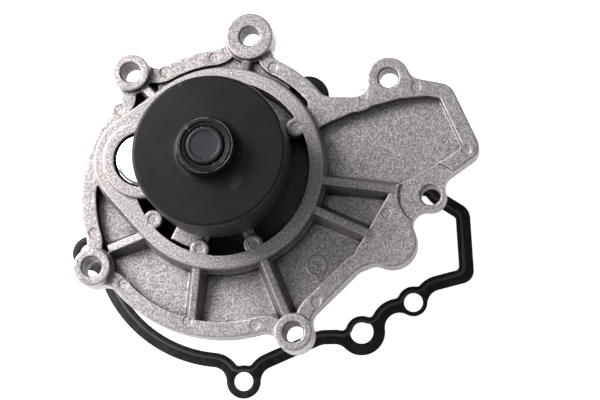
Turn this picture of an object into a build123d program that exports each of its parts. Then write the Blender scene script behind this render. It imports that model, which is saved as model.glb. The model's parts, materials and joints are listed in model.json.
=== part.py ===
from build123d import *
from math import atan2, cos, degrees, radians, sin
import os

# Automotive coolant pump, millimetres.  The shaft axis is Z and points at the pulley.
# Z = 0 is the mounting face of the housing, and the origin is where the axis meets it.
# +X points along the outlet wing.

os.makedirs("parts", exist_ok=True)

# ---- clearances -------------------------------------------------------------------------
RUN_GAP = 0.3        # between pieces of different bodies that never touch
SHAFT_GAP = 0.05     # radial running clearance of a lip or race on the shaft
FACE_GAP = 0.05      # between two sliding faces

# ---- flange outline ---------------------------------------------------------------------
FLANGE_T = 10.0                 # thickness of the sealing flange and of the wing rim
TOP_R = 55.5                    # upper edge of the body, an arc about the shaft axis
TOP_START = (45.0, 32.5)
TOP_END = (-36.0, 42.3)
LEFT_MID = (-63.8, -8.0)
LEFT_END = (22.0, -71.0)
WING_OUTLINE = [
    (38.5, -66.5),
    (60.0, -45.7),
    (74.6, -40.0),
    (84.0, -24.0),
    (88.0, -12.0),
    (98.0, -6.2),
    (115.1, 5.7),
    (101.5, 36.4),
    (84.0, 40.2),
    (62.0, 31.8),
]
WING_TIP = WING_OUTLINE[6]
WING_TIP_R = 6.6
WING_CORNER = WING_OUTLINE[7]
WING_CORNER_R = 8.0
LOBE = (74.6, -33.7)            # blind lobe that holds the locating dowel
LOBE_R = 11.2
CONCAVE_R = 6.0                 # root radius where a boss meets the flange
EDGE_R = 0.8                    # as-cast edge rounding

# ---- bolt bosses: (x, y, boss radius, top height) ----------------------------------------
EARS = {
    "a": (-41.5, 45.2, 8.5, 14.0),
    "b": (12.0, 60.5, 10.7, 13.0),
    "e": (32.1, -73.3, 8.4, 15.0),
    "f": (-57.4, -42.8, 8.5, 14.0),
}
LUG_C = (73.9, 40.2)
LUG_C_R = 9.5
LUG_D = (91.9, -13.0)
LUG_D_R = 6.9
LUG_D_DROP = 1.5                # the lug beside the lobe is machined lower than the rim
LUG_D_STEP_R = 14.3
BOLT_HOLE_R = 4.3               # clears an M8 bolt
HOLE_CHAMFER = 0.7
CHAMFER_R = BOLT_HOLE_R + HOLE_CHAMFER
DOWEL_R = 5.0
DOWEL_DEPTH = 6.0

# ---- pockets, ribs and ring ---------------------------------------------------------------
BAND_W = 7.0                    # width of the sealing band around the pockets
FLOOR_T = 4.5                   # pocket floor above the mounting face
SILL_T = 8.0                    # shallower floor of the groove along the upper edge
SILL_REACH = 60.0
SILL_START_Y = 22.0
BACK_RECESS = 1.2               # relief in the wet face inside the gasket band
RING_OUT_R = 45.5
RING_IN_R = 39.3
RING_TOP = 16.0
RING_DRAFT = 1.2                # extra outer radius at the foot of the ring
CAVITY_FLOOR = 2.5              # floor of the annular cavity around the bearing boss
RIB_TOP_W = 3.2
RIB_FOOT_W = 9.0
RIB_RING_H = 15.0
RIB_ENDS = {                    # outer end of each rib; the inner end is on the ring
    "f": (-51.0, -34.5, -32.5, -28.5),
    "bottom": (-13.2, -66.0, -10.2, -42.5),
    "e": (28.6, -65.0, 18.8, -40.5),
    "right": (66.5, -30.8, 39.5, -18.6),
    "wing": (77.0, -10.6, 42.5, -6.2),
    "a": (-37.5, 40.8, -29.0, 31.6),
    "b": (11.2, 52.0, 9.0, 41.0),
}
PLATEAU = [(56.5, -41.5), (65.5, -26.5), (75.5, -9.2), (100.0, 3.5), (110.0, -50.0)]
SHOULDER = [
    (38.0, 16.0), (47.8, 20.8), (61.2, 26.2), (79.0, 30.7), (94.0, 31.6), (94.0, 45.0), (38.0, 45.0),
    (38.0, 27.0),
]

# ---- core plug ----------------------------------------------------------------------------
PLUG = (-35.0, 4.2)
PLUG_R = 12.5
PLUG_SEAT_W = 1.5               # ledge that carries the plug
PLUG_SEAT_R = PLUG_R - PLUG_SEAT_W
PLUG_T = 3.0
PLUG_CORNER = 1.0
PLUG_BOSS_R = PLUG_R + 5.0
PLUG_BOSS_TOP = 18.5
PLUG_FOOT_R = PLUG_BOSS_R + 4.5
PLUG_RECESS = 0.8               # plug face below the boss top

# ---- cavity webs and ejector pads ----------------------------------------------------------
PAD_ANGLES = (27.7, 217.0, 256.0, 293.0)
PAD_PLACE_R = 37.4
PAD_R = 4.3
PAD_TOP = RING_TOP
WEB_W = 5.0
WEB_TOP = 13.0
SHELF_ANGLE = 244.0             # broad web that stops short of the ring
SHELF_TOP = 13.5
SHELF_W = 13.0
SHELF_END_R = 37.6
MARK_R = 2.5                    # ejector pin marks
MARK_DEPTH = 0.3
MARK_LINE_W = 0.6
CASTING_MARK = (41.3, -42.7)    # plain round tooling mark on a pocket floor
CASTING_MARK_R = 4.5
BAND_MARKS = [
    (-26.6, 45.8), (-4.4, 51.6), (22.3, 46.4), (-46.9, 29.0), (-57.6, -27.0), (-43.7, -50.0),
    (-14.9, -67.0), (14.7, -69.3), (41.5, -59.6), (72.5, -21.0), (62.6, 32.6), (86.0, 35.4),
    (107.6, 6.4),
]

# ---- shaft, bearing and boss ----------------------------------------------------------------
SHAFT_R = 8.0
SHAFT_BOTTOM = -28.5
SHAFT_CHAMFER = 0.5
CENTRE_DIMPLE_R = 5.2
CENTRE_DIMPLE_DEPTH = 0.4
BALL_R = 2.15
BALL_COUNT = 10
GROOVE_R = BALL_R + 0.15        # ball track in the outer ring
RACE_R = SHAFT_R + 2 * (BALL_R + SHAFT_GAP)
BEARING_R = RACE_R + 2.6
BEARING_Z0 = 9.0
BEARING_LEN = 34.0
BEARING_Z1 = BEARING_Z0 + BEARING_LEN
ROW_INSET = 9.0                 # ball row from each end of the bearing
CAGE_T = 1.0
CAGE_H = 2 * BALL_R + 0.9
BEARING_SEAL_T = 1.2
BOSS_R = BEARING_R + 6.0
BOSS_TOP = BEARING_Z1 - 1.0     # the bearing stands slightly proud of its boss
WEEP_R = BEARING_R - 2.0
DRAIN_R = 2.0
DRAIN_ANGLE = 225.0
SLINGER_R = SHAFT_R + 3.0
SLINGER_T = 0.8
SLINGER_Z = 5.5

# ---- face seal ------------------------------------------------------------------------------
SEAL_HOLE_R = SHAFT_R + 1.5
CARBON_R0 = SHAFT_R + 1.6
CARBON_R1 = CARBON_R0 + 3.6
SEAL_BORE_R = CARBON_R1 + 5.2   # leaves room for the bellows and the spring
SEAL_FLANGE_R = SEAL_BORE_R + 2.6
SEAL_CUP_WALL = 0.8
SEAL_CUP_TOP = 1.5
BACK_BOSS_R = SEAL_FLANGE_R + 2.0
BACK_BOSS_END = -5.0
CARBON_BACK = -10.0
SEAL_FACE_Z = -13.0
CARBON_TRAVEL = 0.8             # axial float of the carbon ring
MATING_BACK = -16.5
BOOT_T = 1.2
SPRING_WIRE_R = 0.6
SPRING_TURNS = 4
BELLOWS_R = CARBON_R1 - 1.0
BELLOWS_WALL = 1.0
BELLOWS_SWELL = 1.4
BELLOWS_FOLDS = 3
BELLOWS_LIP = 1.6

# ---- impeller ---------------------------------------------------------------------------------
IMPELLER_R = 34.0
IMPELLER_TOP = -18.5
IMPELLER_DISC_T = 2.6
IMPELLER_BOTTOM = -31.0
HUB_R = CARBON_R1 + BOOT_T + 2.6
BUSH_R = SHAFT_R + 3.5
VANE_COUNT = 7
VANE_T = 2.6
VANE_IN_R = BUSH_R + 3.0
VANE_SWEEP = 48.0               # degrees a vane turns between its root and its tip
VANE_BOW = 0.38                 # share of the sweep reached half way out

# ---- pulley -------------------------------------------------------------------------------------
PULLEY_R = 33.0
PULLEY_WALL = 2.6
PULLEY_LEN = 26.7
PULLEY_CORNER = 2.0
HUB_SLEEVE_R = SHAFT_R + 4.6
HUB_SLEEVE_END = BEARING_Z1 + 1.4
PULLEY_FACE = HUB_SLEEVE_END + 3.7 + PULLEY_WALL
COLLAR_R = SHAFT_R + 4.0
COLLAR_FOOT_R = COLLAR_R + 1.4
COLLAR_STEP = 1.4
COLLAR_STEP_R = COLLAR_R - 1.2
COLLAR_TOP = PULLEY_FACE + 9.7
SHAFT_TOP = COLLAR_TOP + 0.6

# ---- gasket, loose below the pump -----------------------------------------------------------------
GASKET_T = 0.8
GASKET_EDGE = 0.6               # gasket outline inside the flange outline
GASKET_BAND_W = 6.6
GASKET_PAD_R = 7.4
GASKET_TURN = -21.0
GASKET_SHIFT = (0.5, -9.5)
BEAD_W = 1.3
BEAD_H = 0.5
BEAD_INSET = 1.8
OPENING_CORNER_R = 2.0


def polar(radius, angle):
    return (radius * cos(radians(angle)), radius * sin(radians(angle)))


def save(piece, name):
    piece.part.label = name
    export_step(piece.part, "parts/" + name + ".step")


UPWARD = (Align.CENTER, Align.CENTER, Align.MIN)
BOLTS = [ear[:2] for ear in EARS.values()] + [LUG_C, LUG_D]
BOLT_TOPS = [ear[3] for ear in EARS.values()] + [FLANGE_T, FLANGE_T - LUG_D_DROP]

# ---- flange outline sketch ---------------------------------------------------------------------------
with BuildSketch() as outline:
    with BuildLine():
        ThreePointArc(TOP_START, (0.0, TOP_R), TOP_END)
        ThreePointArc(TOP_END, LEFT_MID, LEFT_END)
        Polyline([LEFT_END] + WING_OUTLINE + [TOP_START])
    make_face()
    fillet(outline.vertices().sort_by_distance(WING_TIP)[0], WING_TIP_R)
    fillet(outline.vertices().sort_by_distance(WING_CORNER)[0], WING_CORNER_R)
    for x, y, boss_r, _ in EARS.values():
        with Locations((x, y)):
            Circle(boss_r)
    with Locations(LUG_C):
        Circle(LUG_C_R)
    with Locations(LUG_D):
        Circle(LUG_D_R)
    with Locations(LOBE):
        Circle(LOBE_R)
    offset(amount=CONCAVE_R)
    offset(amount=-CONCAVE_R)

with BuildSketch() as ring_outline:
    Circle(RING_OUT_R)
    with Locations(PLUG):
        Circle(PLUG_FOOT_R)
    make_hull()

with BuildSketch() as band_inner:
    add(outline.sketch)
    offset(amount=-BAND_W)

with BuildSketch() as wet_relief:
    add(band_inner.sketch)
    Circle(BACK_BOSS_R, mode=Mode.SUBTRACT)
    with Locations(*BOLTS):
        Circle(GASKET_PAD_R, mode=Mode.SUBTRACT)
    with Locations(LOBE):
        Circle(LOBE_R, mode=Mode.SUBTRACT)

with BuildSketch() as pockets:
    add(band_inner.sketch)
    add(offset(ring_outline.sketch, amount=RING_DRAFT, mode=Mode.PRIVATE), mode=Mode.SUBTRACT)
    for x, y, boss_r, _ in EARS.values():
        with Locations((x, y)):
            Circle(boss_r + EDGE_R, mode=Mode.SUBTRACT)
    with Locations(LUG_C, LUG_D):
        Circle(LUG_C_R, mode=Mode.SUBTRACT)
    for lid in (PLATEAU, SHOULDER):
        with BuildLine():
            Polyline(lid, close=True)
        make_face(mode=Mode.SUBTRACT)

with BuildSketch() as groove:
    add(pockets.sketch)
    with Locations((0, SILL_START_Y)):
        Rectangle(SILL_REACH, SILL_REACH, align=(Align.CENTER, Align.MIN), mode=Mode.INTERSECT)

with BuildSketch() as cavity:
    Circle(RING_IN_R)
    Circle(BOSS_R, mode=Mode.SUBTRACT)
    with Locations(PLUG):
        Circle(PLUG_BOSS_R, mode=Mode.SUBTRACT)


def rib(x1, y1, x0, y0):
    """A drafted rib whose back slopes from the ring down to the sealing band."""
    along = Vector(x1 - x0, y1 - y0)
    foot = FLOOR_T - EDGE_R
    start = Plane(origin=(x0, y0, foot), x_dir=(along.Y, -along.X, 0), z_dir=along)
    with BuildPart() as body:
        for distance, top_z in ((0, RIB_RING_H), (along.length, FLANGE_T)):
            with BuildSketch(start.offset(distance)):
                with BuildLine():
                    Polyline(
                        (-RIB_FOOT_W / 2, 0),
                        (-RIB_TOP_W / 2, foot - top_z),
                        (RIB_TOP_W / 2, foot - top_z),
                        (RIB_FOOT_W / 2, 0),
                        close=True,
                    )
                make_face()
        loft(ruled=True)
    return body.part


def web(angle, width, top_z, end_r):
    """A radial wall from the bearing boss out to a radius."""
    with BuildPart() as body:
        with BuildSketch(Plane.XY.offset(CAVITY_FLOOR - EDGE_R)):
            with Locations(Rot(0, 0, angle)):
                with Locations(((BOSS_R - EDGE_R + end_r) / 2, 0)):
                    Rectangle(end_r - BOSS_R + EDGE_R, width)
        extrude(amount=top_z - CAVITY_FLOOR + EDGE_R)
    return body.part


def post(place, radius, low, high):
    """An upright round boss with a rounded upper edge."""
    with BuildPart() as body:
        with BuildSketch(Plane.XY.offset(low)):
            with Locations(place):
                Circle(radius)
        extrude(amount=high - low)
        fillet(body.edges().sort_by(Axis.Z)[-1], EDGE_R)
    return body.part


with BuildPart() as housing:
    with BuildSketch():
        add(outline.sketch)
    extrude(amount=FLANGE_T)
    fillet(housing.faces().sort_by(Axis.Z)[-1].edges(), EDGE_R)
    with BuildSketch(Plane.XY.offset(FLANGE_T)):
        add(pockets.sketch)
    extrude(amount=FLOOR_T - FLANGE_T, mode=Mode.SUBTRACT)
    with BuildSketch(Plane.XY.offset(FLOOR_T)):
        add(groove.sketch)
    extrude(amount=SILL_T - FLOOR_T)
    with BuildSketch(Plane.XY.offset(RING_TOP)):
        add(ring_outline.sketch)
    extrude(amount=FLOOR_T - RING_TOP, taper=-degrees(atan2(RING_DRAFT, RING_TOP - FLOOR_T)))
    fillet(housing.faces().sort_by(Axis.Z)[-1].edges(), EDGE_R)
    for ends in RIB_ENDS.values():
        add(rib(*ends))
    for x, y, boss_r, top_z in EARS.values():
        add(post((x, y), boss_r, 0, top_z))
    add(post(PLUG, PLUG_BOSS_R, 0, PLUG_BOSS_TOP))
    with BuildSketch(Plane.XY.offset(CAVITY_FLOOR)):
        add(cavity.sketch)
    extrude(amount=PULLEY_FACE, mode=Mode.SUBTRACT)
    for angle in PAD_ANGLES:
        add(web(angle, WEB_W, WEB_TOP, RING_IN_R + EDGE_R))
        add(post(polar(PAD_PLACE_R, angle), PAD_R, CAVITY_FLOOR - EDGE_R, PAD_TOP))
    add(web(SHELF_ANGLE, SHELF_W, SHELF_TOP, SHELF_END_R))
    add(post((0, 0), BOSS_R, 0, BOSS_TOP))
    add(post((0, 0), BACK_BOSS_R, BACK_BOSS_END, CAVITY_FLOOR - EDGE_R))
    with BuildSketch():
        add(wet_relief.sketch)
    extrude(amount=BACK_RECESS, mode=Mode.SUBTRACT)
    with Locations((0, 0, BEARING_Z0)):
        Cylinder(BEARING_R, BOSS_TOP, align=UPWARD, mode=Mode.SUBTRACT)
    with Locations((0, 0, SEAL_CUP_TOP)):
        Cylinder(WEEP_R, BOSS_TOP, align=UPWARD, mode=Mode.SUBTRACT)
    with Locations((0, 0, BACK_BOSS_END)):
        Cylinder(SEAL_BORE_R, SEAL_CUP_TOP - BACK_BOSS_END, align=UPWARD, mode=Mode.SUBTRACT)
    with Locations((*PLUG, PLUG_BOSS_TOP - PLUG_RECESS - PLUG_T)):
        Cylinder(PLUG_R, BOSS_TOP, align=UPWARD, mode=Mode.SUBTRACT)
    with Locations(PLUG):
        Cylinder(PLUG_SEAT_R, BOSS_TOP, align=UPWARD, mode=Mode.SUBTRACT)
    with Locations((*LUG_D, FLANGE_T - LUG_D_DROP)):
        Cylinder(LUG_D_STEP_R, LUG_D_DROP, align=UPWARD, mode=Mode.SUBTRACT)
    for (x, y), top_z in zip(BOLTS, BOLT_TOPS):
        with Locations((x, y)):
            Cylinder(BOLT_HOLE_R, top_z, align=UPWARD, mode=Mode.SUBTRACT)
        with Locations((x, y, top_z - HOLE_CHAMFER)):
            Cone(BOLT_HOLE_R, CHAMFER_R, HOLE_CHAMFER, align=UPWARD, mode=Mode.SUBTRACT)
    marks = [(x, y, FLANGE_T) for x, y in BAND_MARKS]
    marks += [(*polar(PAD_PLACE_R, angle), PAD_TOP) for angle in PAD_ANGLES]
    for x, y, top_z in marks:
        with Locations((x, y, top_z - MARK_DEPTH)):
            Cylinder(MARK_R, MARK_DEPTH, align=UPWARD, mode=Mode.SUBTRACT)
    with Locations((*CASTING_MARK, FLOOR_T)):
        Cylinder(CASTING_MARK_R, MARK_DEPTH, align=UPWARD)
        Cylinder(CASTING_MARK_R - MARK_LINE_W, MARK_DEPTH, align=UPWARD, mode=Mode.SUBTRACT)
        Cylinder(MARK_LINE_W, MARK_DEPTH, align=UPWARD)
    with BuildSketch(Plane(origin=(0, 0, SLINGER_Z), x_dir=(0, 0, 1), z_dir=(*polar(1, DRAIN_ANGLE), 0))):
        Circle(DRAIN_R)
    extrude(amount=BOSS_R + EDGE_R, mode=Mode.SUBTRACT)
    with Locations(LOBE):
        Cylinder(DOWEL_R, DOWEL_DEPTH, align=UPWARD, mode=Mode.SUBTRACT)

save(housing, "housing")

# ---- core plug -------------------------------------------------------------------------------------
PLUG_FACE = PLUG_BOSS_TOP - PLUG_RECESS
with BuildPart() as core_plug:
    with Locations((*PLUG, PLUG_FACE - PLUG_T)):
        Cylinder(PLUG_R, PLUG_T, align=UPWARD)
    fillet(core_plug.edges().sort_by(Axis.Z)[-1], PLUG_CORNER)
save(core_plug, "core_plug")


def turned(points):
    """A solid of revolution about the shaft axis from (radius, z) points."""
    with BuildPart() as body:
        with BuildSketch(Plane.XZ):
            with BuildLine():
                Polyline(points, close=True)
            make_face()
        revolve(axis=Axis.Z)
    return body.part


# ---- pulley ----------------------------------------------------------------------------------------
PULLEY_INNER_R = PULLEY_R - PULLEY_WALL
PULLEY_UNDER = PULLEY_FACE - PULLEY_WALL
PULLEY_SKIRT = PULLEY_FACE - PULLEY_LEN
RIM_EDGE = (PULLEY_R, 0, PULLEY_FACE)
with BuildPart() as pulley:
    add(turned([
        (SHAFT_R, HUB_SLEEVE_END),
        (HUB_SLEEVE_R, HUB_SLEEVE_END),
        (HUB_SLEEVE_R, PULLEY_UNDER),
        (PULLEY_INNER_R, PULLEY_UNDER),
        (PULLEY_INNER_R, PULLEY_SKIRT),
        (PULLEY_R, PULLEY_SKIRT),
        (PULLEY_R, PULLEY_FACE),
        (COLLAR_FOOT_R, PULLEY_FACE),
        (COLLAR_R, PULLEY_FACE + COLLAR_FOOT_R - COLLAR_R),
        (COLLAR_R, COLLAR_TOP - COLLAR_STEP),
        (COLLAR_STEP_R, COLLAR_TOP),
        (SHAFT_R, COLLAR_TOP),
    ]))
    fillet(pulley.edges().filter_by(GeomType.CIRCLE).sort_by_distance(RIM_EDGE)[0], PULLEY_CORNER)
save(pulley, "pulley")

# ---- shaft and bearing ------------------------------------------------------------------------------
PITCH_R = SHAFT_R + SHAFT_GAP + BALL_R
ROWS = {"rear": BEARING_Z0 + ROW_INSET, "front": BEARING_Z1 - ROW_INSET}
with BuildPart() as shaft:
    with Locations((0, 0, SHAFT_BOTTOM)):
        Cylinder(SHAFT_R, SHAFT_TOP - SHAFT_BOTTOM, align=UPWARD)
    chamfer(shaft.edges().filter_by(GeomType.CIRCLE), SHAFT_CHAMFER)
    with Locations((0, 0, SHAFT_TOP - CENTRE_DIMPLE_DEPTH)):
        Cylinder(CENTRE_DIMPLE_R, CENTRE_DIMPLE_DEPTH, align=UPWARD, mode=Mode.SUBTRACT)
save(shaft, "shaft")

with BuildPart() as bearing_outer:
    add(turned([
        (RACE_R, BEARING_Z0),
        (BEARING_R, BEARING_Z0),
        (BEARING_R, BEARING_Z1),
        (RACE_R, BEARING_Z1),
    ]))
    for row_z in ROWS.values():
        with Locations((0, 0, row_z)):
            Torus(PITCH_R, GROOVE_R, mode=Mode.SUBTRACT)
save(bearing_outer, "bearing_outer_ring")

for row, row_z in ROWS.items():
    with BuildPart() as balls:
        with Locations((0, 0, row_z)):
            with PolarLocations(PITCH_R, BALL_COUNT):
                Sphere(BALL_R)
    save(balls, "bearing_balls_" + row)

    with BuildPart() as cage:
        with Locations((0, 0, row_z)):
            Cylinder(PITCH_R + CAGE_T / 2, CAGE_H)
            Cylinder(PITCH_R - CAGE_T / 2, CAGE_H, mode=Mode.SUBTRACT)
            with PolarLocations(PITCH_R, BALL_COUNT):
                Cylinder(BALL_R + SHAFT_GAP, 2 * BALL_R, rotation=(0, 90, 0), mode=Mode.SUBTRACT)
    save(cage, "bearing_cage_" + row)

for row, low_z in (("rear", BEARING_Z0), ("front", BEARING_Z1 - BEARING_SEAL_T)):
    with BuildPart() as lip_seal:
        with Locations((0, 0, low_z)):
            Cylinder(RACE_R, BEARING_SEAL_T, align=UPWARD)
            Cylinder(SHAFT_R + SHAFT_GAP, BEARING_SEAL_T, align=UPWARD, mode=Mode.SUBTRACT)
    save(lip_seal, "bearing_seal_" + row)

with BuildPart() as slinger:
    with Locations((0, 0, SLINGER_Z)):
        Cylinder(SLINGER_R, SLINGER_T)
        Cylinder(SHAFT_R, SLINGER_T, mode=Mode.SUBTRACT)
save(slinger, "slinger")

# ---- face seal ---------------------------------------------------------------------------------------
SEAL_FLANGE_Z = BACK_BOSS_END - SEAL_CUP_WALL
CUP_IN_R = SEAL_BORE_R - SEAL_CUP_WALL
with BuildPart() as seal_cup:
    add(turned([
        (SEAL_HOLE_R, SEAL_CUP_TOP - SEAL_CUP_WALL),
        (CUP_IN_R, SEAL_CUP_TOP - SEAL_CUP_WALL),
        (CUP_IN_R, SEAL_FLANGE_Z),
        (SEAL_FLANGE_R, SEAL_FLANGE_Z),
        (SEAL_FLANGE_R, BACK_BOSS_END),
        (SEAL_BORE_R, BACK_BOSS_END),
        (SEAL_BORE_R, SEAL_CUP_TOP),
        (SEAL_HOLE_R, SEAL_CUP_TOP),
    ]))
save(seal_cup, "seal_cup")

BELLOWS_TOP = SEAL_CUP_TOP - SEAL_CUP_WALL
BELLOWS_END = CARBON_BACK + CARBON_TRAVEL + RUN_GAP
NOSE_TOP = BELLOWS_END + BELLOWS_WALL
FOLD_STEP = (BELLOWS_TOP - NOSE_TOP) / (2 * BELLOWS_FOLDS)
LIP_R = CARBON_R1 + RUN_GAP
LIP_Z = CARBON_BACK - BELLOWS_LIP
folds_out = []
folds_in = []
for fold in range(2 * BELLOWS_FOLDS + 1):
    fold_z = BELLOWS_TOP - fold * FOLD_STEP
    swell = BELLOWS_SWELL if fold % 2 else 0.0
    folds_out.append((BELLOWS_R + swell, fold_z))
    folds_in.insert(0, (BELLOWS_R - BELLOWS_WALL + swell, fold_z))
nose = [
    (LIP_R + BELLOWS_WALL, NOSE_TOP),
    (LIP_R + BELLOWS_WALL, LIP_Z),
    (LIP_R, LIP_Z),
    (LIP_R, BELLOWS_END),
    (BELLOWS_R - BELLOWS_WALL, BELLOWS_END),
]
with BuildPart() as seal_bellows:
    add(turned(folds_out + nose + folds_in))
save(seal_bellows, "seal_bellows")

SPRING_LOW = LIP_Z + SPRING_WIRE_R
SPRING_LEN = BELLOWS_TOP - SPRING_WIRE_R - SPRING_LOW
SPRING_COIL_R = LIP_R + BELLOWS_WALL + RUN_GAP + SPRING_WIRE_R
with BuildPart() as seal_spring:
    with BuildLine():
        coil = Helix(SPRING_LEN / SPRING_TURNS, SPRING_LEN, SPRING_COIL_R, center=(0, 0, SPRING_LOW))
    with BuildSketch(Plane(origin=coil @ 0, z_dir=coil % 0)):
        Circle(SPRING_WIRE_R)
    sweep(path=coil, is_frenet=True)
save(seal_spring, "seal_spring")

with BuildPart() as carbon_ring:
    with Locations((0, 0, SEAL_FACE_Z)):
        Cylinder(CARBON_R1, CARBON_BACK - SEAL_FACE_Z, align=UPWARD)
        Cylinder(CARBON_R0, CARBON_BACK - SEAL_FACE_Z, align=UPWARD, mode=Mode.SUBTRACT)
save(carbon_ring, "carbon_ring")

MATING_TOP = SEAL_FACE_Z - FACE_GAP
with BuildPart() as mating_ring:
    with Locations((0, 0, MATING_BACK)):
        Cylinder(CARBON_R1, MATING_TOP - MATING_BACK, align=UPWARD)
        Cylinder(CARBON_R0, MATING_TOP - MATING_BACK, align=UPWARD, mode=Mode.SUBTRACT)
save(mating_ring, "mating_ring")

BOOT_R = CARBON_R1 + BOOT_T
BOOT_TOP = (MATING_BACK + MATING_TOP) / 2
with BuildPart() as mating_boot:
    add(turned([
        (CARBON_R0, MATING_BACK - BOOT_T),
        (BOOT_R, MATING_BACK - BOOT_T),
        (BOOT_R, BOOT_TOP),
        (CARBON_R1, BOOT_TOP),
        (CARBON_R1, MATING_BACK),
        (CARBON_R0, MATING_BACK),
    ]))
save(mating_boot, "mating_ring_boot")

# ---- impeller --------------------------------------------------------------------------------------
with BuildPart() as impeller_bush:
    with Locations((0, 0, SHAFT_BOTTOM)):
        Cylinder(BUSH_R, MATING_BACK - BOOT_T - SHAFT_BOTTOM, align=UPWARD)
        Cylinder(SHAFT_R, MATING_BACK - BOOT_T - SHAFT_BOTTOM, align=UPWARD, mode=Mode.SUBTRACT)
save(impeller_bush, "impeller_bush")

DISC_LOW = IMPELLER_TOP - IMPELLER_DISC_T
with BuildSketch() as vane:
    with BuildLine():
        spine = ThreePointArc(
            polar(VANE_IN_R - VANE_T / 2, 0),
            polar((VANE_IN_R + IMPELLER_R) / 2, VANE_SWEEP * VANE_BOW),
            polar(IMPELLER_R - VANE_T / 2, VANE_SWEEP),
        )
        offset(spine, VANE_T / 2)
    make_face()
with BuildPart() as impeller:
    add(turned([
        (BUSH_R, SHAFT_BOTTOM),
        (BUSH_R, MATING_BACK - BOOT_T),
        (BOOT_R, MATING_BACK - BOOT_T),
        (BOOT_R, BOOT_TOP),
        (HUB_R, BOOT_TOP),
        (HUB_R, IMPELLER_TOP),
        (IMPELLER_R, IMPELLER_TOP),
        (IMPELLER_R, DISC_LOW),
        (VANE_IN_R, DISC_LOW),
        (VANE_IN_R, SHAFT_BOTTOM),
    ]))
    with BuildSketch(Plane.XY.offset(IMPELLER_BOTTOM)):
        with PolarLocations(0, VANE_COUNT):
            add(vane.sketch)
    extrude(amount=DISC_LOW - IMPELLER_BOTTOM)
save(impeller, "impeller")

# ---- gasket ------------------------------------------------------------------------------------------
GASKET_Z = IMPELLER_BOTTOM
GASKET_PLACE = Location((*GASKET_SHIFT, GASKET_Z), (0, 0, GASKET_TURN))
with BuildSketch() as gasket_outline:
    add(outline.sketch)
    offset(amount=-GASKET_EDGE)
with BuildSketch() as opening_rough:
    add(gasket_outline.sketch)
    offset(amount=-GASKET_BAND_W)
    with Locations(*BOLTS, LOBE):
        Circle(GASKET_PAD_R, mode=Mode.SUBTRACT)
with BuildSketch() as gasket_opening:
    add(opening_rough.faces().sort_by(SortBy.AREA)[-1])
    offset(amount=-OPENING_CORNER_R)
    offset(amount=OPENING_CORNER_R)
with BuildSketch() as gasket_shape:
    add(gasket_outline.sketch)
    add(gasket_opening.sketch, mode=Mode.SUBTRACT)
    with Locations(*BOLTS):
        Circle(BOLT_HOLE_R, mode=Mode.SUBTRACT)
    with Locations(LOBE):
        Circle(DOWEL_R + RUN_GAP, mode=Mode.SUBTRACT)
with BuildPart() as gasket:
    add(gasket_shape.sketch)
    extrude(amount=GASKET_T)
gasket.part = gasket.part.moved(GASKET_PLACE)
save(gasket, "gasket_carrier")

with BuildSketch(Plane.XY.offset(GASKET_T)) as bead_shape:
    add(gasket_opening.sketch)
    offset(amount=BEAD_INSET + BEAD_W)
    add(offset(gasket_opening.sketch, amount=BEAD_INSET, mode=Mode.PRIVATE), mode=Mode.SUBTRACT)
with BuildPart() as gasket_bead:
    add(bead_shape.sketch)
    extrude(amount=BEAD_H)
gasket_bead.part = gasket_bead.part.moved(GASKET_PLACE)
save(gasket_bead, "gasket_bead")
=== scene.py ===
import json
from math import cos, pi, sin

import bmesh
import bpy
from mathutils import Matrix, Vector


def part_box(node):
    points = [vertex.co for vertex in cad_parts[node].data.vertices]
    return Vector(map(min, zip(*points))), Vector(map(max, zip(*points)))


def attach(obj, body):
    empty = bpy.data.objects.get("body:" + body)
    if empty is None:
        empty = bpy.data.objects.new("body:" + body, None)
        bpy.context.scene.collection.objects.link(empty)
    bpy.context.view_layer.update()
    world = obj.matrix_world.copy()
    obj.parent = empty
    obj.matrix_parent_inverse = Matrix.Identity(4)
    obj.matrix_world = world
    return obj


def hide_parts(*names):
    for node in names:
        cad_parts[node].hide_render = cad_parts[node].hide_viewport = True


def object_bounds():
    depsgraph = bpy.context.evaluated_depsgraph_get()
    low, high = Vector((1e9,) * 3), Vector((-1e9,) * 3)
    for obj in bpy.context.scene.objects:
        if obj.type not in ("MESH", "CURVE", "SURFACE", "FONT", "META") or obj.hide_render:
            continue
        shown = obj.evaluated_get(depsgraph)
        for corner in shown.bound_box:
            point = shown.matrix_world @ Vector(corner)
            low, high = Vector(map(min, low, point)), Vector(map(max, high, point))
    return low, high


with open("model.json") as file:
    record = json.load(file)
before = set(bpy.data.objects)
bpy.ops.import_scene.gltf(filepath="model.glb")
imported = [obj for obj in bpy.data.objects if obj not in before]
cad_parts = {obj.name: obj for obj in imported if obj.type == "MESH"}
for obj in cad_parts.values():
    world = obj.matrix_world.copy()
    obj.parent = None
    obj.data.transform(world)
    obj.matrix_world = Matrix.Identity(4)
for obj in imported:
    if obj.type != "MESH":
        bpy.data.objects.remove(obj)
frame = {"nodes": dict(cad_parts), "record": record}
CAD_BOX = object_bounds()
NODES = frame["nodes"]
MM = 0.001


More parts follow.
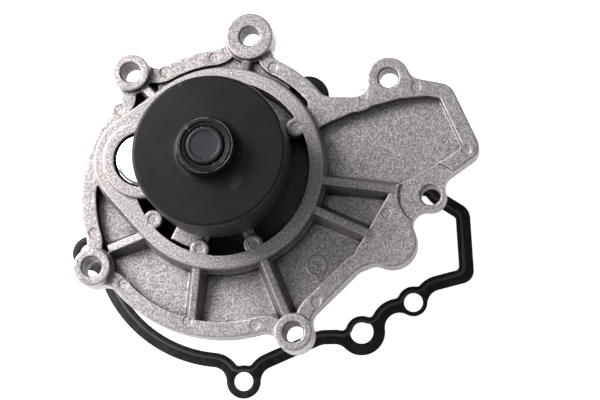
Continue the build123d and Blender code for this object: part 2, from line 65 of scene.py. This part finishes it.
# ---- small helpers for node trees ---------------------------------------------------------
class Surface:
    """A material whose nodes are added and wired in one call each."""

    def __init__(self, name, **sockets):
        self.material = bpy.data.materials.new(name)
        self.material.use_nodes = True
        self.tree = self.material.node_tree
        self.shader = self.tree.nodes["Principled BSDF"]
        for socket, value in sockets.items():
            self.shader.inputs[socket.replace("_", " ")].default_value = value
        self.place = self.add("TexCoord").outputs["Object"]

    def add(self, kind, inputs=None, **settings):
        node = self.tree.nodes.new("ShaderNode" + kind)
        for key, value in settings.items():
            setattr(node, key, value)
        for key, value in (inputs or {}).items():
            socket = node.inputs[key]
            if isinstance(value, bpy.types.NodeSocket):
                self.tree.links.new(value, socket)
            else:
                socket.default_value = value
        return node

    def noise(self, period, detail=3.0, rough=0.6):
        inputs = {"Vector": self.place, "Scale": 1 / period, "Detail": detail, "Roughness": rough}
        return self.add("TexNoise", inputs).outputs["Fac"]

    def cells(self, period):
        return self.add("TexVoronoi", {"Vector": self.place, "Scale": 1 / period}).outputs["Distance"]

    def ramp(self, factor, *stops):
        node = self.add("ValToRGB", {"Fac": factor})
        while len(node.color_ramp.elements) < len(stops):
            node.color_ramp.elements.new(0.5)
        for element, (position, colour) in zip(node.color_ramp.elements, stops):
            element.position = position
            element.color = (*colour, 1) if isinstance(colour, tuple) else (colour, colour, colour, 1)
        return node.outputs["Color"]

    def mix(self, factor, first, second, blend="MIX"):
        node = self.add("Mix", data_type="RGBA", blend_type=blend)
        for socket, value in zip((node.inputs[0], node.inputs[6], node.inputs[7]), (factor, first, second)):
            if isinstance(value, bpy.types.NodeSocket):
                self.tree.links.new(value, socket)
            else:
                socket.default_value = (*value, 1) if isinstance(value, tuple) else value
        return node.outputs[2]

    def math(self, operation, first, second):
        return self.add("Math", {0: first, 1: second}, operation=operation).outputs[0]

    def bump(self, height, depth, strength=1.0, normal=None):
        inputs = {"Height": height, "Distance": depth, "Strength": strength}
        if normal:
            inputs["Normal"] = normal
        return self.add("Bump", inputs).outputs["Normal"]

    def drive(self, **sources):
        for socket, source in sources.items():
            self.tree.links.new(source, self.shader.inputs[socket.replace("_", " ")])


def cast_aluminium():
    """Warm grey die casting: sandy grain, painted highlights along the edges, painted shade in corners and
    deep hollows.
    """
    skin = Surface("cast_aluminium", Metallic=0.8)
    grain = skin.noise(0.8 * MM, detail=5, rough=0.8)
    sand = skin.cells(0.8 * MM)
    cloud = skin.noise(34 * MM, detail=3)
    tone = skin.ramp(
        grain,
        (0.36, (0.135, 0.122, 0.122)),
        (0.50, (0.33, 0.305, 0.306)),
        (0.65, (0.60, 0.57, 0.575)),
    )
    patch = skin.ramp(cloud, (0.3, 0.86), (0.7, 1.06))
    tone = skin.mix(1.0, tone, patch, "MULTIPLY")
    # painted highlight: edges lightened towards pale grey by pointiness
    edge = skin.ramp(skin.add("NewGeometry").outputs["Pointiness"], (0.505, 0.0), (0.57, 1.0))
    tone = skin.mix(skin.math("MULTIPLY", edge, 0.7), tone, (0.70, 0.66, 0.65))
    # painted shade: brownish darkening in corners and creases, from ambient occlusion
    corner = skin.add("AmbientOcclusion", {"Distance": 5 * MM}, samples=8).outputs["AO"]
    painted_corner_shade = skin.ramp(corner, (0.20, (0.26, 0.20, 0.17)), (0.66, (1.0, 1.0, 1.0)))
    tone = skin.mix(1.0, tone, painted_corner_shade, "MULTIPLY")
    # painted shade: deep hollows and the cavity under the pulley darkened nearly to black
    hollow = skin.add("AmbientOcclusion", {"Distance": 40 * MM}, samples=8).outputs["AO"]
    shade = skin.ramp(hollow, (0.22, (0.03, 0.022, 0.02)), (0.46, (1.0, 1.0, 1.0)))
    tone = skin.mix(1.0, tone, shade, "MULTIPLY")
    rough = skin.ramp(grain, (0.3, 0.58), (0.7, 0.40))
    normal = skin.bump(sand, 0.12 * MM, 0.6)
    normal = skin.bump(grain, 0.2 * MM, 0.7, normal)
    skin.drive(Base_Color=tone, Roughness=rough, Normal=normal)
    return skin.material


def coated_steel(name, tone, roughness, wear, gloss=0.3):
    """Dark conversion or paint coat on steel with faint handling marks, and rubbed edges that also serve as
    a painted highlight.
    """
    skin = Surface(name, Specular_IOR_Level=gloss)
    smudge = skin.noise(22 * MM, detail=4, rough=0.65)
    speck = skin.noise(0.5 * MM, detail=2)
    low = tuple(0.75 * c for c in tone)
    high = tuple(1.35 * c for c in tone)
    colour = skin.ramp(smudge, (0.3, low), (0.7, high))
    # rubbed coat and painted highlight: edges lightened by pointiness, broken up by noise, up to the wear
    # amount
    edge = skin.ramp(skin.add("NewGeometry").outputs["Pointiness"], (0.51, 0.0), (0.60, 1.0))
    rub_and_highlight = skin.math("MULTIPLY", edge, skin.ramp(skin.noise(3 * MM), (0.42, 0.0), (0.62, wear)))
    colour = skin.mix(rub_and_highlight, colour, (0.30, 0.30, 0.31))
    curve = skin.ramp(skin.noise(31 * MM, detail=1), (0.494, 0.0), (0.500, 1.0), (0.506, 0.0))
    patch = skin.ramp(skin.noise(19 * MM, detail=1), (0.52, 0.0), (0.60, 0.22))
    colour = skin.mix(skin.math("MULTIPLY", curve, patch), colour, (0.16, 0.16, 0.18))
    rough = skin.ramp(smudge, (0.3, roughness * 0.82), (0.7, roughness * 1.2))
    skin.drive(Base_Color=colour, Roughness=rough, Normal=skin.bump(speck, 0.03 * MM, 0.35))
    return skin.material


def bare_metal(name, tone, roughness, turned=0.0):
    """Bare metal, with turning rings about the shaft axis where it was machined."""
    skin = Surface(name, Metallic=1.0)
    cloud = skin.noise(9 * MM, detail=4)
    colour = skin.ramp(cloud, (0.3, tuple(0.88 * c for c in tone)), (0.7, tone))
    rough = skin.ramp(cloud, (0.3, roughness * 0.8), (0.7, roughness * 1.25))
    normal = skin.bump(skin.noise(0.6 * MM), 0.01 * MM, 0.3)
    if turned:
        rings = skin.add("TexWave", {"Vector": skin.place, "Scale": 0.5 / (0.35 * MM), "Distortion": 0.4},
                         wave_type="RINGS", rings_direction="Z").outputs["Fac"]
        normal = skin.bump(rings, 0.012 * MM, turned, normal)
    skin.drive(Base_Color=colour, Roughness=rough, Normal=normal)
    return skin.material


def moulded(name, tone, roughness, grain):
    """Moulded rubber, plastic, carbon or ceramic with its own fine grain."""
    skin = Surface(name)
    cloud = skin.noise(7 * MM, detail=4)
    low = tuple(0.8 * c for c in tone)
    high = tuple(min(1.0, 1.15 * c) for c in tone)
    colour = skin.ramp(cloud, (0.3, low), (0.7, high))
    rough = skin.ramp(cloud, (0.3, roughness * 0.85), (0.7, min(1.0, roughness * 1.15)))
    normal = skin.bump(skin.noise(grain, detail=4), 0.05 * MM, 0.5)
    skin.drive(Base_Color=colour, Roughness=rough, Normal=normal)
    return skin.material


def worn_edge_and_highlight():
    """Coating rubbed off along an edge, showing dull steel in places; the lighter line is also a painted
    highlight.
    """
    skin = Surface("worn_edge_and_highlight", Specular_IOR_Level=0.3)
    rub_and_highlight = skin.ramp(skin.noise(5 * MM, detail=4), (0.40, (0.016, 0.014, 0.015)), (0.62, (0.17, 0.15, 0.145)))
    skin.drive(Base_Color=rub_and_highlight, Roughness=skin.ramp(skin.noise(2 * MM), (0.3, 0.3), (0.7, 0.45)))
    return skin.material


SHARP_ANGLE = 0.7
BEVEL_ANGLE = 0.8
# worn coat and painted highlight line for the pulley rim and collar edge
WORN_EDGE_AND_HIGHLIGHT = worn_edge_and_highlight()
MATERIALS = {
    "cast_aluminium": cast_aluminium(),
    "black_steel": coated_steel("black_steel", (0.010, 0.0086, 0.010), 0.38, 0.5, 0.17),
    "dark_steel": coated_steel("dark_steel", (0.018, 0.018, 0.024), 0.32, 0.5, 0.3),
    "gasket_coat": coated_steel("gasket_coat", (0.0085, 0.0075, 0.0085), 0.45, 0.15, 0.2),
    "bright_steel": bare_metal("bright_steel", (0.80, 0.83, 0.88), 0.12),
    "bearing_steel": bare_metal("bearing_steel", (0.62, 0.62, 0.63), 0.2, 0.4),
    "spring_steel": bare_metal("spring_steel", (0.42, 0.42, 0.43), 0.3),
    "rubber": moulded("rubber", (0.02, 0.02, 0.021), 0.62, 0.5 * MM),
    "gasket_bead": moulded("gasket_bead", (0.055, 0.05, 0.053), 0.4, 0.5 * MM),
    "carbon": moulded("carbon", (0.03, 0.03, 0.033), 0.38, 0.3 * MM),
    "ceramic": moulded("ceramic", (0.78, 0.75, 0.68), 0.22, 0.3 * MM),
    "plastic": moulded("plastic", (0.03, 0.03, 0.033), 0.5, 0.7 * MM),
    "cage_plastic": moulded("cage_plastic", (0.52, 0.45, 0.33), 0.45, 0.6 * MM),
}
SLOT_OF = {row["node"]: row["material_slot"] for row in frame["record"]["subparts"]}


def wear(obj, slot):
    obj.data.materials.clear()
    obj.data.materials.append(MATERIALS[slot])


for node_name, node in NODES.items():
    wear(node, SLOT_OF[node_name])


# ---- mesh helpers --------------------------------------------------------------------------
def piece_from(mesh, name, body, slot, replaced=None):
    piece = bpy.data.objects.new(name, mesh)
    bpy.context.scene.collection.objects.link(piece)
    mesh.shade_smooth()
    mesh.set_sharp_from_angle(angle=SHARP_ANGLE)
    wear(piece, slot)
    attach(piece, body)
    if replaced:
        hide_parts(replaced)
    return piece


def rounded(points, radius, steps=4):
    """Closed outline with each corner eased by a small curve."""
    eased = []
    count = len(points)
    for index, point in enumerate(points):
        corner = Vector(point)
        if corner.x == 0:
            eased.append(corner)
            continue
        before = Vector(points[index - 1]) - corner
        after = Vector(points[(index + 1) % count]) - corner
        reach = min(radius, 0.45 * before.length, 0.45 * after.length)
        start = corner + before.normalized() * reach
        end = corner + after.normalized() * reach
        for step in range(steps + 1):
            t = step / steps
            eased.append((1 - t) ** 2 * start + 2 * t * (1 - t) * corner + t ** 2 * end)
    return eased


def lathe(name, outline, centre=(0.0, 0.0), sides=160):
    """Mesh of revolution from a closed (radius, height) outline."""
    rings = len(outline)
    verts = []
    for side in range(sides):
        angle = 2 * pi * side / sides
        for point in outline:
            verts.append((centre[0] + point[0] * cos(angle), centre[1] + point[0] * sin(angle), point[1]))
    faces = []
    for side in range(sides):
        here = side * rings
        there = ((side + 1) % sides) * rings
        for ring in range(rings):
            step = (ring + 1) % rings
            if outline[ring][0] or outline[step][0]:
                faces.append((here + ring, there + ring, there + step, here + step))
    mesh = bpy.data.meshes.new(name)
    mesh.from_pydata(verts, [], faces)
    shape = bmesh.new()
    shape.from_mesh(mesh)
    bmesh.ops.remove_doubles(shape, verts=shape.verts, dist=1e-7)
    bmesh.ops.recalc_face_normals(shape, faces=shape.faces)
    shape.to_mesh(mesh)
    shape.free()
    return mesh


def welded_copy(node_name):
    """A CAD node's mesh as one closed surface, without the splits at its sharp edges."""
    shape = bmesh.new()
    shape.from_mesh(NODES[node_name].data)
    bmesh.ops.remove_doubles(shape, verts=shape.verts, dist=1e-6)
    mesh = bpy.data.meshes.new(node_name + "_welded")
    shape.to_mesh(mesh)
    shape.free()
    return mesh


def modified(mesh, *steps):
    """The mesh after a row of (modifier kind, settings)."""
    helper = bpy.data.objects.new("helper", mesh)
    bpy.context.scene.collection.objects.link(helper)
    for kind, settings in steps:
        modifier = helper.modifiers.new(kind, kind)
        for key, value in settings.items():
            setattr(modifier, key, value)
    shown = helper.evaluated_get(bpy.context.evaluated_depsgraph_get())
    result = bpy.data.meshes.new_from_object(shown)
    bpy.data.objects.remove(helper)
    return result


# ---- housing: the casting with its soft, rounded edges ----------------------------------------
def build_housing():
    voxel = 0.34 * MM
    mesh = modified(
        welded_copy("housing"),
        ("REMESH", {"mode": "VOXEL", "voxel_size": voxel, "use_smooth_shade": True}),
        ("SMOOTH", {"factor": 0.5, "iterations": 3}),
    )
    piece_from(mesh, "housing_casting", "housing", "cast_aluminium", "housing")


PIN_R = 2.5
PIN_MARKS = [
    (-26.6, 45.8), (-4.4, 51.6), (22.3, 46.4), (-46.9, 29.0), (-57.6, -27.0), (-43.7, -50.0),
    (-14.9, -67.0), (14.7, -69.3), (41.5, -59.6), (72.5, -21.0), (62.6, 32.6), (86.0, 35.4),
    (107.6, 6.4),
]
PAD_ANGLES = (27.7, 217.0, 256.0, 293.0)
PAD_PLACE_R = 37.4
BAND_Z = 10.0
RING_Z = 16.0
FLOOR_Z = 4.5
DATE_MARK = (41.3, -42.7)
DATE_R = 4.4
DATE_TICKS = 10
DATE_TICK_PLACE_R = 2.9
DATE_TICK_R = 0.35
LIP_W = 0.32
LIP_H = 0.12
LIP_ROOT = 0.3                  # depth of a lip's foot below the face it stands on


def lip(centre, radius, z):
    """Thin raised ring left round a mould pin, millimetres."""
    outline = [
        (radius - LIP_W / 2, z - LIP_ROOT),
        (radius - LIP_W / 2, z),
        (radius, z + LIP_H),
        (radius + LIP_W / 2, z),
        (radius + LIP_W / 2, z - LIP_ROOT),
    ]
    place = (centre[0] * MM, centre[1] * MM)
    return lathe("lip", [(r * MM, h * MM) for r, h in outline], place, sides=56)


def build_marks():
    spots = [(x, y, PIN_R, BAND_Z) for x, y in PIN_MARKS]
    for angle in PAD_ANGLES:
        turn = angle * pi / 180
        spots.append((PAD_PLACE_R * cos(turn), PAD_PLACE_R * sin(turn), PIN_R, RING_Z))
    spots.append((*DATE_MARK, DATE_R, FLOOR_Z))
    for tick in range(DATE_TICKS):
        turn = 2 * pi * tick / DATE_TICKS
        x = DATE_MARK[0] + DATE_TICK_PLACE_R * cos(turn)
        y = DATE_MARK[1] + DATE_TICK_PLACE_R * sin(turn)
        spots.append((x, y, DATE_TICK_R, FLOOR_Z))
    shape = bmesh.new()
    for x, y, radius, z in spots:
        shape.from_mesh(lip((x, y), radius, z))
    mesh = bpy.data.meshes.new("mould_pin_marks")
    shape.to_mesh(mesh)
    shape.free()
    piece_from(mesh, "mould_pin_marks", "housing", "cast_aluminium")


# ---- pulley and shaft end ------------------------------------------------------------------------
# radius of the thin bead carrying the worn coat and painted highlight line
WEAR_AND_HIGHLIGHT_R = 0.2 * MM


def build_pulley():
    low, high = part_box("pulley")
    rim_r = high.x
    skirt_z = low.z
    face_z = 50.7 * MM
    top_z = high.z
    wall = 2.6 * MM
    bore_r = 8.12 * MM
    sleeve_r = 12.6 * MM
    sleeve_z = 44.4 * MM
    outline = rounded([
        (bore_r, sleeve_z),
        (sleeve_r, sleeve_z),
        (sleeve_r, face_z - wall),
        (rim_r - wall, face_z - wall),
        (rim_r - wall, skirt_z),
        (rim_r, skirt_z),
        (rim_r, face_z - 1.2 * MM),
        (rim_r - 0.35 * MM, face_z - 0.35 * MM),
        (rim_r - 1.2 * MM, face_z),
        (14.4 * MM, face_z),
        (13.0 * MM, face_z + 0.7 * MM),
        (12.1 * MM, face_z + 2.4 * MM),
        (12.0 * MM, top_z - 1.3 * MM),
        (11.3 * MM, top_z),
        (10.2 * MM, top_z),
        (9.9 * MM, top_z - 0.6 * MM),
        (8.9 * MM, top_z - 0.6 * MM),
        (bore_r, top_z - 1.2 * MM),
    ], 1.1 * MM)
    piece_from(lathe("pulley_cup", outline), "pulley_cup", "rotor", "black_steel", "pulley")
    # painted highlight and worn coat: thin lighter beads round the pulley rim and the collar edge
    edges = (
        ("pulley_edge_wear_and_highlight", rim_r - 0.55 * MM, face_z - 0.55 * MM),
        ("collar_edge_wear_and_highlight", 11.75 * MM, top_z - 0.45 * MM),
    )
    for name, radius, height in edges:
        turns = [k * pi / 4 for k in range(8)]
        bead = [(radius + WEAR_AND_HIGHLIGHT_R * cos(turn), height + WEAR_AND_HIGHLIGHT_R * sin(turn)) for turn in turns]
        wear_and_highlight_line = piece_from(lathe(name, bead), name, "rotor", "black_steel")
        wear_and_highlight_line.data.materials[0] = WORN_EDGE_AND_HIGHLIGHT


def build_shaft():
    low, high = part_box("shaft")
    r = high.x
    outline = rounded([
        (0.0, low.z),
        (r - 0.5 * MM, low.z),
        (r, low.z + 0.5 * MM),
        (r, high.z - 0.6 * MM),
        (r - 0.6 * MM, high.z),
        (6.3 * MM, high.z),
        (6.0 * MM, high.z - 0.35 * MM),
        (0.0, high.z - 0.35 * MM),
    ], 0.25 * MM)
    piece_from(lathe("shaft_bar", outline), "shaft_bar", "rotor", "dark_steel", "shaft")


def build_core_plug():
    low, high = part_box("core_plug")
    middle = (low + high) / 2
    r = (high.x - low.x) / 2
    outline = [
        (0.0, low.z),
        (r - 0.9 * MM, low.z),
        (r, low.z + 0.6 * MM),
        (r, high.z - 1.5 * MM),
        (r - 0.35 * MM, high.z - 0.9 * MM),
        (r - 0.8 * MM, high.z - 0.35 * MM),
        (r - 1.4 * MM, high.z - 0.08 * MM),
        (r - 2.2 * MM, high.z),
        (r / 2, high.z - 0.12 * MM),
        (0.0, high.z - 0.18 * MM),
    ]
    points = [Vector(point) for point in outline]
    disc = lathe("plug_disc", points, (middle.x, middle.y))
    piece_from(disc, "plug_disc", "housing", "bright_steel", "core_plug")


def build_gasket():
    carrier = modified(
        welded_copy("gasket_carrier"),
        ("BEVEL", {"width": 0.12 * MM, "segments": 2, "limit_method": "ANGLE", "angle_limit": BEVEL_ANGLE}),
    )
    piece_from(carrier, "gasket_sheet", "gasket", "gasket_coat", "gasket_carrier")
    bead = modified(
        welded_copy("gasket_bead"),
        ("BEVEL", {"width": 0.3 * MM, "segments": 3, "limit_method": "ANGLE", "angle_limit": BEVEL_ANGLE}),
    )
    piece_from(bead, "gasket_raised_bead", "gasket", "gasket_bead", "gasket_bead")


build_housing()
build_marks()
build_pulley()
build_shaft()
build_core_plug()
build_gasket()


# ---- studio -----------------------------------------------------------------------------------------
def area_light(name, place, aim, size, power, tint):
    light = bpy.data.lights.new(name, "AREA")
    light.shape = "RECTANGLE"
    light.size, light.size_y = size
    light.energy = power
    light.color = tint
    lamp = bpy.data.objects.new(name, light)
    lamp.location = place
    lamp.rotation_euler = (Vector(aim) - Vector(place)).to_track_quat("-Z", "Y").to_euler()
    bpy.context.scene.collection.objects.link(lamp)


def build_studio():
    floor_z = CAD_BOX[0][2] - 0.05 * MM
    mesh = bpy.data.meshes.new("floor")
    half = 3.0
    corners = [(-half, -half), (half, -half), (half, half), (-half, half)]
    mesh.from_pydata([(x, y, floor_z) for x, y in corners], [], [(0, 1, 2, 3)])
    floor = bpy.data.objects.new("floor", mesh)
    bpy.context.scene.collection.objects.link(floor)
    paper = Surface("white_paper", Roughness=0.9, Base_Color=(0.93, 0.93, 0.93, 1),
                    Emission_Color=(1, 1, 1, 1), Emission_Strength=0.9)
    floor.data.materials.append(paper.material)

    world = bpy.data.worlds.new("studio")
    world.use_nodes = True
    background = world.node_tree.nodes["Background"]
    background.inputs["Color"].default_value = (1, 1, 1, 1)
    background.inputs["Strength"].default_value = 0.2
    bpy.context.scene.world = world
    bpy.context.scene.view_settings.view_transform = "Standard"

    area_light("key", (-0.50, 0.30, 0.50), (-0.02, 0, 0), (0.4, 0.45), 10, (1, 0.98, 0.97))
    area_light("overhead", (-0.14, 0.22, 1.0), (0, 0, 0), (0.34, 0.34), 0.55, (0.93, 0.97, 1))
    area_light("low_left", (-0.42, -0.2, 0.3), (-0.03, 0, 0), (0.25, 0.3), 1.3, (1, 0.985, 0.975))


def build_camera():
    """Long lens about 0.9 m away, looking down about 15 degrees off the shaft axis."""
    eye = Vector((0.133, -0.188, 0.8667))
    target = Vector((0.0334, -0.0122, 0.0))
    ahead = (target - eye).normalized()
    right = ahead.cross(Vector((0, 1, 0))).normalized()
    up = right.cross(ahead)
    camera = bpy.data.objects.new("camera", bpy.data.cameras.new("camera"))
    camera.matrix_world = Matrix.Translation(eye) @ Matrix((right, up, -ahead)).transposed().to_4x4()
    camera.data.sensor_width = 36
    camera.data.lens = 120
    bpy.context.scene.collection.objects.link(camera)
    bpy.context.scene.camera = camera


build_studio()
build_camera()
